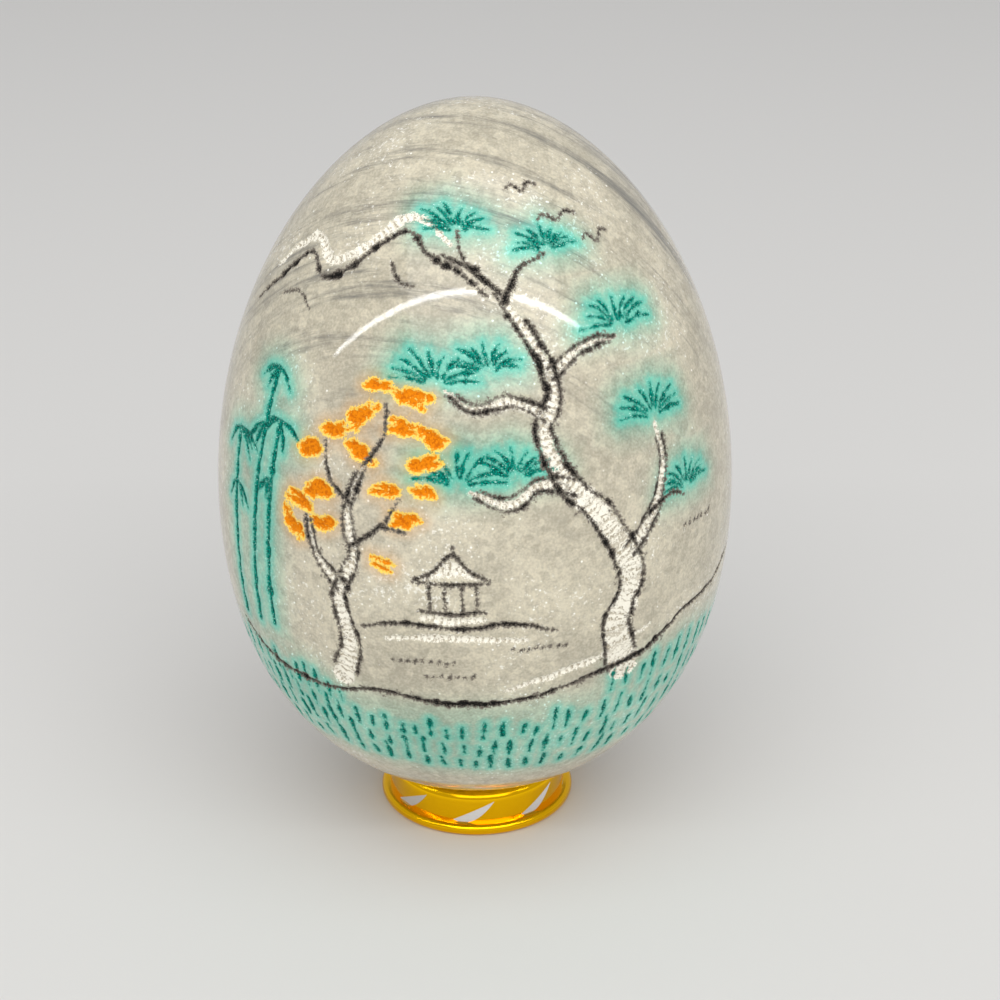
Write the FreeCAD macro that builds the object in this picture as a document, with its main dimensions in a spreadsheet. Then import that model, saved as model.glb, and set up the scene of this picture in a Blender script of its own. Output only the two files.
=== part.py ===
"""A polished stone egg that sits loose in a small turned metal ring with diamond cut facets.

Millimetres, +Z up, front towards -Y. The origin is the centre of the ring's foot, on the surface
that it stands on.
"""

import FreeCAD, Part
import os

import Sketcher

Vector = FreeCAD.Vector
Rotation = FreeCAD.Rotation
Placement = FreeCAD.Placement

# Driving dimensions, in millimetres
LENGTHS = {
    "egg_width": 52.0,  # across the belly
    "egg_height": 71.4,  # from the blunt end to the pointed end
    "egg_belly_height": 31.8,  # of the widest circle above the blunt end
    "egg_blunt_reach": 11.0,  # how far the outline leaves the blunt end level
    "egg_belly_reach": 23.9,  # how far the outline leaves the belly upright, downwards
    "egg_pointed_reach": 12.05,  # how far the outline leaves the pointed end level
    "wall_width": 18.8,  # across the ring's upright wall, outside
    "wall_height": 4.8,  # from the table to the ring's top
    "wall_thickness": 1.75,
    "shoulder_round": 1.25,  # the wall's outer top edge
    "flange_width": 0.9,  # how far the flange stands out from the wall
    "flange_thickness": 1.2,
    "flange_round": 0.55,  # the flange's outer edges
    "bore_chamfer": 0.2,  # the bore's bottom edge
    "seat_chamfer": 0.3,  # the bore's top edge, whose rim carries the egg
    "seat_gap": 0.1,  # upright, between that rim and the egg
    "facet_depth": 0.25,  # of each cut at its upper edge
    "facet_width": 0.95,  # from the upper edge to where the cut runs out of the wall
    "facet_rise": 0.12,  # of the middle of the upper edge above the middle of the wall
}

# Driving angles, in degrees
ANGLES = {
    "facet_slant": 27.0,  # of each cut, from level
    "facet_turn": -1.5,  # of the front cut about the upright axis
}

COUNTS = {
    "facet_count": 8,
}

# The cutter is larger than its cut by this share each way
CUTTER_SHARE = 0.06

# A round takes at most this share of the height that carries it
ROUND_LIMIT_SHARE = 0.46


def cell(alias):
    """The expression that reads one cell of the sheet."""
    return "<<sizes>>." + alias


# Radii of the ring, as expressions
WALL_RADIUS = f"({cell('wall_width')} / 2)"
BORE_RADIUS = f"({WALL_RADIUS} - {cell('wall_thickness')})"
FLANGE_RADIUS = f"({WALL_RADIUS} + {cell('flange_width')})"
SEAT_RADIUS = f"({BORE_RADIUS} + {cell('seat_chamfer')})"


def make_sheet(doc):
    """The sheet of driving dimensions, one aliased row each."""
    sheet = doc.addObject("Spreadsheet::Sheet", "sizes")
    sheet.Label = "sizes"
    rows = {**LENGTHS, **ANGLES, **COUNTS}
    for row, (alias, value) in enumerate(rows.items(), 1):
        sheet.set(f"A{row}", alias)
        sheet.set(f"B{row}", str(value))
        sheet.setAlias(f"B{row}", alias)
    doc.recompute()


def number(doc, expression):
    """What an expression on the sheet comes to, or zero for none."""
    if expression is None:
        return 0
    return float(doc.getObject("sizes").evalExpression(expression))


def new_body(doc, label):
    """An empty body that carries one sub-part."""
    body = doc.addObject("PartDesign::Body", label)
    body.Label = label
    return body


def origin_feature(body, role):
    """One of the body's own origin planes or axes, by its role."""
    return next(item for item in body.Origin.OriginFeatures if item.Role == role)


def upright_sketch(body, name):
    """A sketch on the body's XZ plane, where x is a radius and y is a height."""
    sketch = body.newObject("Sketcher::SketchObject", name)
    sketch.AttachmentSupport = (origin_feature(body, "XZ_Plane"), [""])
    sketch.MapMode = "FlatFace"
    return sketch


def point(doc, radius, height):
    """A sketch point from two expressions."""
    return Vector(number(doc, radius), number(doc, height))


def bind(sketch, kind, geometry, end, name, expression):
    """Ties one point's distance from the sketch's origin to the sheet.

    A missing expression stands for a point on the upright axis or on the base line.
    """
    if expression is None:
        line = -2 if kind == "DistanceX" else -1
        sketch.addConstraint(Sketcher.Constraint("PointOnObject", geometry, end, line))
        return
    value = number(sketch.Document, expression)
    index = sketch.addConstraint(Sketcher.Constraint(kind, -1, 1, geometry, end, value))
    sketch.renameConstraint(index, name)
    sketch.setExpression(f"Constraints.{name}", expression)


def revolve(body, sketch, name):
    """The full turn of a profile about the sketch's upright axis."""
    turned = body.newObject("PartDesign::Revolution", name)
    turned.Profile = sketch
    turned.ReferenceAxis = (sketch, ["V_Axis"])
    turned.Angle = 360


def outline_poles():
    """Control points of the egg's half outline, from the blunt end up to the pointed end.

    Each entry is (name, radius expression, height expression). The reach above the belly follows
    from the one below it, so that both spans have one curvature where they meet.
    """
    radius = f"({cell('egg_width')} / 2)"
    belly = cell("egg_belly_height")
    reach = cell("egg_belly_reach")
    blunt = cell("egg_blunt_reach")
    pointed = cell("egg_pointed_reach")
    top = cell("egg_height")
    upper_reach = f"{reach} * sqrt(({radius} - {pointed}) / ({radius} - {blunt}))"
    return [
        ("blunt_end", None, None),
        ("blunt_reach", blunt, None),
        ("lower_belly", radius, f"{belly} - {reach}"),
        ("belly", radius, belly),
        ("upper_belly", radius, f"{belly} + {upper_reach}"),
        ("pointed_reach", pointed, top),
        ("pointed_end", None, top),
    ]


def egg_profile(body):
    """Half of the egg's outline as two smooth spans, closed by the axis."""
    sketch = upright_sketch(body, "egg_profile")
    poles = outline_poles()
    corners = [point(body.Document, radius, height) for _, radius, height in poles]
    curve = Part.BSplineCurve()
    curve.buildFromPolesMultsKnots(corners, [4, 3, 4], [0, 1, 2], False, 3)
    outline = sketch.addGeometry(curve, False)
    sketch.exposeInternalGeometry(outline)
    # The circles that mark the control points follow the curve, and point 3 is a circle's centre
    for circle, (name, radius, height) in enumerate(poles, outline + 1):
        bind(sketch, "DistanceX", circle, 3, name + "_radius", radius)
        bind(sketch, "DistanceY", circle, 3, name + "_height", height)
    axis = sketch.addGeometry(Part.LineSegment(corners[-1], corners[0]), False)
    sketch.addConstraint(Sketcher.Constraint("Coincident", axis, 1, outline, 2))
    sketch.addConstraint(Sketcher.Constraint("Coincident", axis, 2, outline, 1))
    add_seat_probe(sketch, outline)
    return sketch


def add_seat_probe(sketch, outline):
    """A point of the outline over the seat's rim, with its height as a reading."""
    radius = number(sketch.Document, SEAT_RADIUS)
    guess = radius**2 / number(sketch.Document, cell("egg_width"))
    probe = sketch.addGeometry(Part.Point(Vector(radius, guess)), True)
    sketch.addConstraint(Sketcher.Constraint("PointOnObject", probe, 1, outline))
    bind(sketch, "DistanceX", probe, 1, "seat_radius", SEAT_RADIUS)
    reading = Sketcher.Constraint("DistanceY", -1, 1, probe, 1, guess)
    index = sketch.addConstraint(reading)
    sketch.setDriving(index, False)
    sketch.renameConstraint(index, "seat_rise")


def make_egg(doc):
    """The solid stone egg, blunt end down, seated in the ring."""
    body = new_body(doc, "stone_egg")
    revolve(body, egg_profile(body), "egg_turned")
    # The reading carries its unit and the cells don't
    rise = "<<egg_profile>>.Constraints.seat_rise / mm"
    seated = f"{cell('wall_height')} + {cell('seat_gap')} - {rise}"
    body.setExpression("Placement.Base.z", seated)
    return body


def tube_section(body, name, outer, height):
    """A sketch of a tube's section, from the bore out to a radius and up to a height."""
    sketch = upright_sketch(body, name)
    sides = [(BORE_RADIUS, None), (outer, None), (outer, height), (BORE_RADIUS, height)]
    corners = [point(body.Document, *side) for side in sides]
    for start, end in zip(corners, corners[1:] + corners[:1]):
        sketch.addGeometry(Part.LineSegment(start, end), False)
    for line, square in enumerate(["Horizontal", "Vertical", "Horizontal", "Vertical"]):
        sketch.addConstraint(Sketcher.Constraint("Coincident", line, 2, (line + 1) % 4, 1))
        sketch.addConstraint(Sketcher.Constraint(square, line))
    bind(sketch, "DistanceY", 0, 1, "base", None)
    bind(sketch, "DistanceX", 0, 1, "inner_radius", BORE_RADIUS)
    bind(sketch, "DistanceX", 0, 2, "outer_radius", outer)
    bind(sketch, "DistanceY", 1, 2, "top", height)
    return sketch


def round_edges(feature, radius, height):
    """Names of the feature's circles of one radius about the upright axis at one height."""
    names = []
    near = Part.Precision.confusion() * 10
    for count, edge in enumerate(feature.Shape.Edges, 1):
        if not isinstance(edge.Curve, Part.Circle):
            continue
        level = abs(edge.Curve.Center.z - number(feature.Document, height)) < near
        if level and abs(edge.Curve.Radius - number(feature.Document, radius)) < near:
            names.append(f"Edge{count}")
    return names


def dress(body, kind, name, radius, heights, size):
    """Rounds or chamfers the body's circular edges of one radius, with a size from the sheet."""
    base = body.Tip
    body.Document.recompute()
    edges = []
    for height in heights:
        edges += round_edges(base, radius, height)
    feature = body.newObject("PartDesign::" + kind, name)
    feature.Base = (base, edges)
    feature.setExpression("Radius" if kind == "Fillet" else "Size", size)


def facet_line(body):
    """The plane of one cut's bottom before it leans, turned so that its X runs up the slant."""
    wall_top = f"{cell('wall_height')} - {cell('shoulder_round')}"
    middle = f"({cell('flange_thickness')} + {wall_top}) / 2"
    line = body.newObject("PartDesign::Plane", "facet_line")
    line.AttachmentSupport = (origin_feature(body, "XZ_Plane"), [""])
    line.MapMode = "FlatFace"
    line.AttachmentOffset = Placement(Vector(), Rotation(Vector(0, 0, 1), 1))
    line.setExpression("AttachmentOffset.Rotation.Angle", cell("facet_slant"))
    line.setExpression("AttachmentOffset.Base.y", f"{middle} + {cell('facet_rise')}")
    line.setExpression("AttachmentOffset.Base.z", f"{WALL_RADIUS} - {cell('facet_depth')}")
    return line


def cut_facets(body):
    """Slanted cuts round the wall: one flat cutter that leans back, repeated about the axis."""
    depth = cell("facet_depth")
    lean = f"atan({depth} / {cell('facet_width')})"
    spare = f"(1 + {CUTTER_SHARE})"
    chord = f"2 * sqrt({depth} * ({cell('wall_width')} - {depth}))"
    length = f"{spare} * {chord} / cos({cell('facet_slant')})"
    width = f"{spare} * {cell('facet_width')} / cos({lean})"

    cutter = body.newObject("PartDesign::SubtractiveBox", "facet_cutter")
    cutter.AttachmentSupport = (facet_line(body), [""])
    cutter.MapMode = "FlatFace"
    cutter.AttachmentOffset = Placement(Vector(), Rotation(Vector(-1, 0, 0), 1))
    cutter.setExpression("AttachmentOffset.Rotation.Angle", lean)
    cutter.setExpression("AttachmentOffset.Base.x", f"-1 * {length} / 2")
    cutter.setExpression("AttachmentOffset.Base.y", f"-1 * {width} * cos({lean})")
    cutter.setExpression("AttachmentOffset.Base.z", f"{width} * sin({lean})")
    cutter.setExpression("Length", length)
    cutter.setExpression("Width", width)
    cutter.setExpression("Height", f"{spare} * {depth} / cos({lean})")
    body.Document.recompute()

    pattern = body.newObject("PartDesign::PolarPattern", "facets")
    pattern.Originals = [cutter]
    pattern.Axis = (origin_feature(body, "Z_Axis"), [""])
    pattern.Angle = 360
    pattern.setExpression("Occurrences", cell("facet_count"))
    body.Tip = pattern


def make_ring(doc):
    """The turned ring stand: a wall with a rounded shoulder and facets, then its flange."""
    body = new_body(doc, "ring_stand")
    top = cell("wall_height")
    flange_top = cell("flange_thickness")

    revolve(body, tube_section(body, "wall_section", WALL_RADIUS, top), "wall")
    dress(body, "Fillet", "shoulder", WALL_RADIUS, [top], cell("shoulder_round"))
    dress(body, "Chamfer", "seat", BORE_RADIUS, [top], cell("seat_chamfer"))
    cut_facets(body)

    flange = tube_section(body, "flange_section", FLANGE_RADIUS, flange_top)
    revolve(body, flange, "flange")
    edge_round = f"min({cell('flange_round')}; {flange_top} * {ROUND_LIMIT_SHARE})"
    dress(body, "Fillet", "flange_edges", FLANGE_RADIUS, [None, flange_top], edge_round)
    dress(body, "Chamfer", "bore_foot", BORE_RADIUS, [None], cell("bore_chamfer"))

    body.Placement = Placement(Vector(), Rotation(Vector(0, 0, 1), 1))
    body.setExpression("Placement.Rotation.Angle", cell("facet_turn"))
    return body


def check(doc, bodies):
    """Stops the build if an object failed or a sub-part isn't one valid closed solid."""
    for item in doc.Objects:
        if {"Invalid", "Error"} & set(item.State):
            raise RuntimeError(f"{item.Label} failed: {item.State}")
    for body in bodies:
        shape = body.Shape
        if shape.isNull() or not shape.isValid() or len(shape.Solids) != 1:
            raise RuntimeError(f"{body.Label} isn't one valid solid")


def describe(body):
    """One line on a sub-part's volume and box."""
    box = body.Shape.optimalBoundingBox(False, False)
    print(
        f"{body.Label}: volume {body.Shape.Volume:.2f} mm3,"
        f" {box.XLength:.3f} x {box.YLength:.3f} x {box.ZLength:.3f} mm,"
        f" z from {box.ZMin:.4f} to {box.ZMax:.4f}"
    )


def main():
    """Builds the document and writes each sub-part's solid."""
    doc = FreeCAD.newDocument("egg_on_stand")
    make_sheet(doc)
    ring = make_ring(doc)
    egg = make_egg(doc)
    doc.recompute()
    check(doc, [ring, egg])
    os.makedirs("parts", exist_ok=True)
    for body in (ring, egg):
        body.Shape.exportStep(os.path.join("parts", body.Label + ".step"))
        describe(body)
    gap = ring.Shape.distToShape(egg.Shape)[0]
    print(f"gap between the ring and the egg: {gap:.4f} mm")


main()
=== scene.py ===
"""A polished marble egg with an engraved and painted landscape, loose in a gold ring stand."""

import sys
import logging
import math
from collections.abc import Callable
from dataclasses import dataclass, field
from enum import Enum
from functools import partial

import bmesh
import bpy
import numpy as np
from bmesh.types import BMesh, BMVert
from bpy.types import Material, Mesh, Node, NodeSocket, Object
from mathutils import Matrix, Vector, noise


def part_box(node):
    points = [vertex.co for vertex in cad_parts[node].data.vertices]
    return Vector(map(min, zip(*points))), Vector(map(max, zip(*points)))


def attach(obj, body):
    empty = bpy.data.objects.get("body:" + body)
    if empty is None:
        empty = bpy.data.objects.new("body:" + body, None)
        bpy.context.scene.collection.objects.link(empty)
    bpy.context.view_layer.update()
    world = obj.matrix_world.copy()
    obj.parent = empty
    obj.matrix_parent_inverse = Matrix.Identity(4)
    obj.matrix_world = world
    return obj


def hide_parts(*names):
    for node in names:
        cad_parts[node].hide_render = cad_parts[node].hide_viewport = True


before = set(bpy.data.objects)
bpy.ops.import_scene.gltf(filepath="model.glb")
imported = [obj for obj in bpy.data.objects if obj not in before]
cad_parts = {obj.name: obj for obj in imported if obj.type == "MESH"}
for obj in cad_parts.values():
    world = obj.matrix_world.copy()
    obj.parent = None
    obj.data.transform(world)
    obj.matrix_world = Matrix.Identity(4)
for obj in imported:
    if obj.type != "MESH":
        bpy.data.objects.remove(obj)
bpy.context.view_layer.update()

MM = 0.001  # metres in a millimetre
TINY = 1e-12  # keeps a division by a length finite
MERGE = 0.001  # vertices closer than this are one, in millimetres

Spot = tuple[float, float]  # an azimuth and an arc on the egg's skin
Corners = list[tuple[float, float]]  # millimetres to the right and up from a spot, along the skin
Widths = tuple[float, ...]  # full widths, spread evenly along a stroke

logging.basicConfig(level=logging.INFO, format="%(message)s", stream=sys.stdout)
log = logging.getLogger("egg")


# Helpers for colours, nodes and meshes

def linear(hex_colour: str) -> tuple[float, float, float, float]:
    """Turns an sRGB hex colour to linear light.

    Args:
        hex_colour: six hex digits, such as "c8c3b4".

    Returns:
        Red, green, blue and an alpha of one.
    """
    parts = [int(hex_colour[place:place + 2], 16) / 255 for place in (0, 2, 4)]
    curve = [part / 12.92 if part <= 0.04045 else ((part + 0.055) / 1.055) ** 2.4 for part in parts]
    return (*curve, 1.0)


def add_node(material: Material, kind: str, settings: dict | None = None,
             inputs: dict | None = None) -> Node:
    """Adds a shader node to a material, sets it up and links it.

    Args:
        material: the material, or the world, whose tree gets the node.
        kind: the node's type name without its "ShaderNode".
        settings: properties of the node and their values.
        inputs: sockets by name or number, each with a plain value, a socket to link from, or a
            node whose first output is linked.

    Returns:
        The new node.
    """
    tree = material.node_tree
    node = tree.nodes.new("ShaderNode" + kind)
    for name, value in (settings or {}).items():
        setattr(node, name, value)
    for name, value in (inputs or {}).items():
        if isinstance(value, Node):
            value = value.outputs[0]
        if isinstance(value, NodeSocket):
            tree.links.new(value, node.inputs[name])
        else:
            node.inputs[name].default_value = value
    return node


def new_material(name: str) -> Material:
    """Starts a material with an empty node tree.

    Args:
        name: of the material.

    Returns:
        The material.
    """
    material = bpy.data.materials.new(name)
    material.use_nodes = True
    material.node_tree.nodes.clear()
    return material


def finish_material(material: Material, inputs: dict) -> None:
    """Gives a material its Principled shader and output.

    Args:
        material: the material to finish.
        inputs: the shader's sockets, each with a plain value or a socket to link from.
    """
    shader = add_node(material, "BsdfPrincipled", inputs=inputs)
    add_node(material, "OutputMaterial", inputs={"Surface": shader.outputs["BSDF"]})


def spin_outline(points: np.ndarray | list[tuple], closed: bool, steps: int) -> BMesh:
    """Spins an outline about the upright axis to a closed surface.

    Args:
        points: the outline's corners.
        closed: whether its last corner joins its first.
        steps: how many a full turn has.

    Returns:
        The surface, with its faces pointing outwards.
    """
    bm = bmesh.new()
    chain = [bm.verts.new(point) for point in points]
    following = chain[1:] + chain[:1] if closed else chain[1:]
    edges = [bm.edges.new(pair) for pair in zip(chain, following)]
    bmesh.ops.spin(bm, geom=chain + edges, cent=(0, 0, 0), axis=(0, 0, 1), dvec=(0, 0, 0),
                   angle=math.tau, steps=steps, use_merge=True, use_duplicate=False)
    bmesh.ops.remove_doubles(bm, verts=bm.verts[:], dist=MERGE)
    bmesh.ops.recalc_face_normals(bm, faces=bm.faces[:])
    return bm


def add_object(name: str, bm: BMesh) -> Object:
    """Makes a shape an object that sits at the origin.

    Args:
        name: of the object and its mesh.
        bm: the shape, which is freed.

    Returns:
        The object.
    """
    mesh = bpy.data.meshes.new(name)
    bm.to_mesh(mesh)
    bm.free()
    piece = bpy.data.objects.new(name, mesh)
    bpy.context.scene.collection.objects.link(piece)
    return piece


# The stone's shape

@dataclass
class EggShape:
    """The egg's outline, in millimetres: two cubic spans turned about the upright axis.

    The foot is the height of the blunt end above the table, and a place on the skin is an
    azimuth in degrees, nought at the front and growing to the right, with the length of skin
    up from the blunt end, its arc.
    """

    foot: float
    width: float = 52.0
    height: float = 71.4
    belly_height: float = 31.8
    blunt_reach: float = 11.0
    belly_reach: float = 23.9
    pointed_reach: float = 12.05
    steps: int = 1200

    def __post_init__(self) -> None:
        """Works out the outline, its arc lengths and its polar form about the belly's centre."""
        radius = self.width / 2
        narrowing = (radius - self.pointed_reach) / (radius - self.blunt_reach)
        upper_reach = self.belly_reach * math.sqrt(narrowing)
        belly = (radius, self.belly_height)
        below = (radius, self.belly_height - self.belly_reach)
        above = (radius, self.belly_height + upper_reach)
        lower = self.span((0, 0), (self.blunt_reach, 0), below, belly)
        upper = self.span(belly, above, (self.pointed_reach, self.height), (0, self.height))
        self.outline = np.vstack([lower, upper[1:]]) + (0, self.foot)
        lengths = np.hypot(*np.diff(self.outline, axis=0).T)
        self.arcs = np.concatenate([[0], np.cumsum(lengths)])
        self.centre = self.foot + self.belly_height
        offset = self.outline - (0, self.centre)
        self.tilts = np.arctan2(offset[:, 1], offset[:, 0])
        self.reaches = np.hypot(*offset.T)
        along = np.gradient(self.outline, axis=0)
        self.out = np.column_stack([along[:, 1], -along[:, 0]]) / np.hypot(*along.T)[:, None]

    def span(self, *corners: tuple[float, float]) -> np.ndarray:
        """Follows a cubic span.

        Args:
            corners: its start, the two points that steer it, and its end.

        Returns:
            One row of radius and height for each point along it.
        """
        share = np.linspace(0, 1, self.steps)[:, None]
        start, leave, arrive, end = (np.array(corner, float) for corner in corners)
        rest = 1 - share
        return (rest**3 * start + 3 * rest**2 * share * leave
                + 3 * rest * share**2 * arrive + share**3 * end)

    def radius_at(self, arc: np.ndarray) -> np.ndarray:
        """The skin's radius at an arc."""
        return np.interp(arc, self.arcs, self.outline[:, 0])

    def places(self, azimuth: np.ndarray, arc: np.ndarray) -> np.ndarray:
        """Finds points on the skin.

        Args:
            azimuth: degrees from the front, to the right.
            arc: millimetres of skin up from the blunt end.

        Returns:
            One row of x, y and z for each point, in millimetres.
        """
        turn = np.radians(azimuth)
        radius = self.radius_at(arc)
        height = np.interp(arc, self.arcs, self.outline[:, 1])
        return np.column_stack([radius * np.sin(turn), -radius * np.cos(turn), height])

    def polar(self, points: np.ndarray) -> tuple[np.ndarray, np.ndarray]:
        """Sees points from the belly's centre.

        Args:
            points: one row of x, y and z for each.

        Returns:
            Each point's tilt above the level, and its level direction from the axis.
        """
        flat = np.hypot(points[:, 0], points[:, 1])
        tilt = np.arctan2(points[:, 2] - self.centre, flat)
        side = points[:, :2] / np.maximum(flat, TINY)[:, None]
        return tilt, side

    def onto_skin(self, points: np.ndarray) -> np.ndarray:
        """Moves points onto the skin, straight out from the belly's centre.

        Args:
            points: one row of x, y and z for each.

        Returns:
            The same rows, on the skin.
        """
        tilt, side = self.polar(points)
        reach = np.interp(tilt, self.tilts, self.reaches)
        return np.column_stack([side * (reach * np.cos(tilt))[:, None],
                                self.centre + reach * np.sin(tilt)])

    def normals(self, points: np.ndarray) -> np.ndarray:
        """Finds the skin's outward directions.

        Args:
            points: one row of x, y and z for each, on the skin.

        Returns:
            One unit row for each.
        """
        tilt, side = self.polar(points)
        outward = np.interp(tilt, self.tilts, self.out[:, 0])
        upward = np.interp(tilt, self.tilts, self.out[:, 1])
        return np.column_stack([side * outward[:, None], upward])


# The engraver's strokes

class Pigment(Enum):
    """What a cut is filled with, and the attribute that carries it."""

    BLACK = "black"
    WHITE = "white"
    TEAL = "teal"
    ORANGE = "orange"
    WASH = "wash"


@dataclass(frozen=True)
class Cut:
    """How a stroke is cut and filled.

    It has a depth in millimetres, a halo of airbrushed colour with a strength up to one, and a
    width that varies from peck to peck by the rough share. A wash has its halo's strength all over.
    """

    pigment: Pigment
    depth: float = 0.16
    halo: float = 0.0
    rough: float = 0.22


INK = Cut(Pigment.BLACK)
BANK = Cut(Pigment.BLACK, rough=0.3)
BARK = Cut(Pigment.BLACK, rough=0.34)
RIDGE = Cut(Pigment.BLACK, rough=0.4)
PECK = Cut(Pigment.BLACK, 0.1, rough=0.1)
RIPPLE = Cut(Pigment.BLACK, 0.08)
CHALK = Cut(Pigment.WHITE)
WOOD = Cut(Pigment.WHITE, 0.2, rough=0.16)
ROOF = Cut(Pigment.WHITE, 0.18)
SNOW = Cut(Pigment.WHITE, 0.14)
NEEDLE = Cut(Pigment.TEAL, 0.12, 0.8, 0.34)
CANE = Cut(Pigment.TEAL, 0.14, 0.7)
BLADE = Cut(Pigment.TEAL, 0.13, 0.7)
GRASS = Cut(Pigment.TEAL, 0.15, 0.5, 0.45)
LEAF = Cut(Pigment.ORANGE, 0.2, rough=0.5)
MIST = Cut(Pigment.WASH, 0, 0.46, 0.1)

FAR = -9.0  # what a field holds where no stroke is near, in millimetres


@dataclass
class Stroke:
    """A short run of one engraved stroke, as points on the skin with a half width at each.

    The points are one step apart, and begun is how far along the whole stroke the run starts.
    """

    points: np.ndarray
    halves: np.ndarray
    cut: Cut
    begun: float
    step: float

    def measure(self, places: np.ndarray) -> tuple[np.ndarray, np.ndarray]:
        """Measures places against the run.

        Args:
            places: points near the run.

        Returns:
            How far each lies inside the run's edge, negative outside it, and how far along the
            whole stroke it is.
        """
        start, run = self.points[:-1], np.diff(self.points, axis=0)
        square = np.maximum((run**2).sum(axis=1), TINY)
        ahead = places @ run.T - (start * run).sum(axis=1)
        share = np.clip(ahead / square, 0, 1)
        apart = (places**2).sum(axis=1)[:, None] + (start**2).sum(axis=1) - 2 * places @ start.T
        apart += share * (share * square - 2 * ahead)
        half = self.halves[:-1] + share * np.diff(self.halves)
        inside = half - np.sqrt(np.maximum(apart, 0))
        best = inside.argmax(axis=1)
        row = np.arange(len(places))
        return inside[row, best], self.begun + (best + share[row, best]) * self.step


@dataclass
class Fields:
    """What the strokes do at each place, in millimetres apart from the wash.

    They give how far inside each pigment's edge it is, the wash, the depth of cut, and how far
    along a white or black stroke it lies.
    """

    count: int
    edges: dict = field(init=False)
    wash: np.ndarray = field(init=False)
    depth: np.ndarray = field(init=False)
    runs: dict = field(init=False)

    def __post_init__(self) -> None:
        """Starts with bare stone everywhere."""
        carved = [pigment for pigment in Pigment if pigment is not Pigment.WASH]
        self.edges = {pigment: np.full(self.count, FAR) for pigment in carved}
        self.wash = np.zeros(self.count)
        self.depth = np.zeros(self.count)
        self.runs = {pigment: np.zeros(self.count) for pigment in (Pigment.WHITE, Pigment.BLACK)}

    def nearest(self) -> np.ndarray:
        """How far inside any carved stroke each place is."""
        return np.max(list(self.edges.values()), axis=0)

    def layers(self) -> dict[str, np.ndarray]:
        """Names the attributes that the finish reads.

        Returns:
            Their values by name.
        """
        named = {pigment.value: edge for pigment, edge in self.edges.items()}
        named.update((pigment.value + "_run", run) for pigment, run in self.runs.items())
        return {**named, Pigment.WASH.value: self.wash}


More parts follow.
